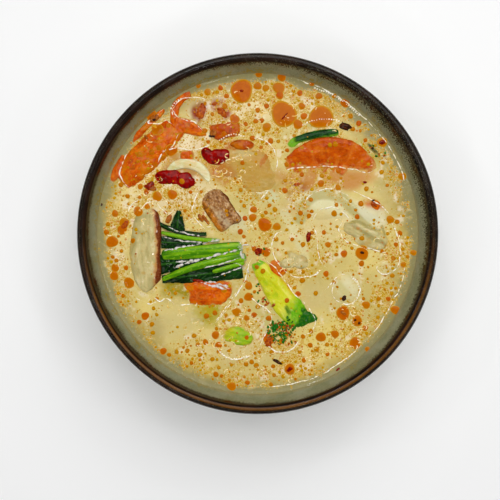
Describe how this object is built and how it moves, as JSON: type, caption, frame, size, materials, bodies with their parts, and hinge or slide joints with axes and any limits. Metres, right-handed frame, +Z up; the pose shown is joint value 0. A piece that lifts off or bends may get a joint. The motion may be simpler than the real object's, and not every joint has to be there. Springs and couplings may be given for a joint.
{
  "type": "bowl of chicken coconut soup",
  "caption": "Round stoneware bowl on a low foot, filled with creamy coconut soup with chicken, carrot, zucchini, greens, chilli and drops of orange oil.",
  "frame": {"origin": "middle of the foot ring's underside, which is the middle of the bottom of the whole's box", "axes": "+Z up out of the bowl; +X to the right and +Y away in the view from above"},
  "size_m": [0.18, 0.18, 0.074],
  "materials": {
    "glaze": "glossy grey-green glaze with a dark brown rim",
    "soup": "wet and creamy, with drops of orange oil",
    "chicken": "moist, pale cooked meat",
    "browned": "moist, browned meat",
    "carrot": "wet cooked carrot",
    "stem": "wet light green stem",
    "leaf": "wet dark green leaf",
    "zucchini": "wet yellow-green flesh",
    "rind": "wet dark green skin",
    "chilli": "glossy deep red skin",
    "onion": "wet, pale and slightly see-through"
  },
  "bodies": {
    "root": {"bowl": "glaze", "soup": "soup", "stem_main": "stem", "stem_low": "stem", "stem_short": "stem", "stem_top": "stem", "leaf_band": "leaf", "leaf_upper": "leaf", "leaf_middle": "leaf", "leaf_lower": "leaf", "leaf_tip": "leaf", "chicken_slice": "chicken", "chicken_brown": "browned", "chicken_right": "chicken", "chicken_small": "chicken", "chicken_gold": "chicken", "chilli_left": "chilli", "chilli_middle": "chilli", "carrot_slice": "carrot", "carrot_chunk": "carrot", "carrot_curl": "carrot", "carrot_flake": "carrot", "carrot_middle": "carrot", "carrot_lens": "carrot", "carrot_cube": "carrot", "carrot_sliver_high": "carrot", "carrot_sliver_low": "carrot", "carrot_small": "carrot", "carrot_end": "carrot", "carrot_low": "carrot", "zucchini_wedge": "zucchini", "zucchini_bit": "zucchini", "zucchini_rind": "rind", "zucchini_end": "rind", "onion_crescent": "onion"}
  },
  "joints": []
}
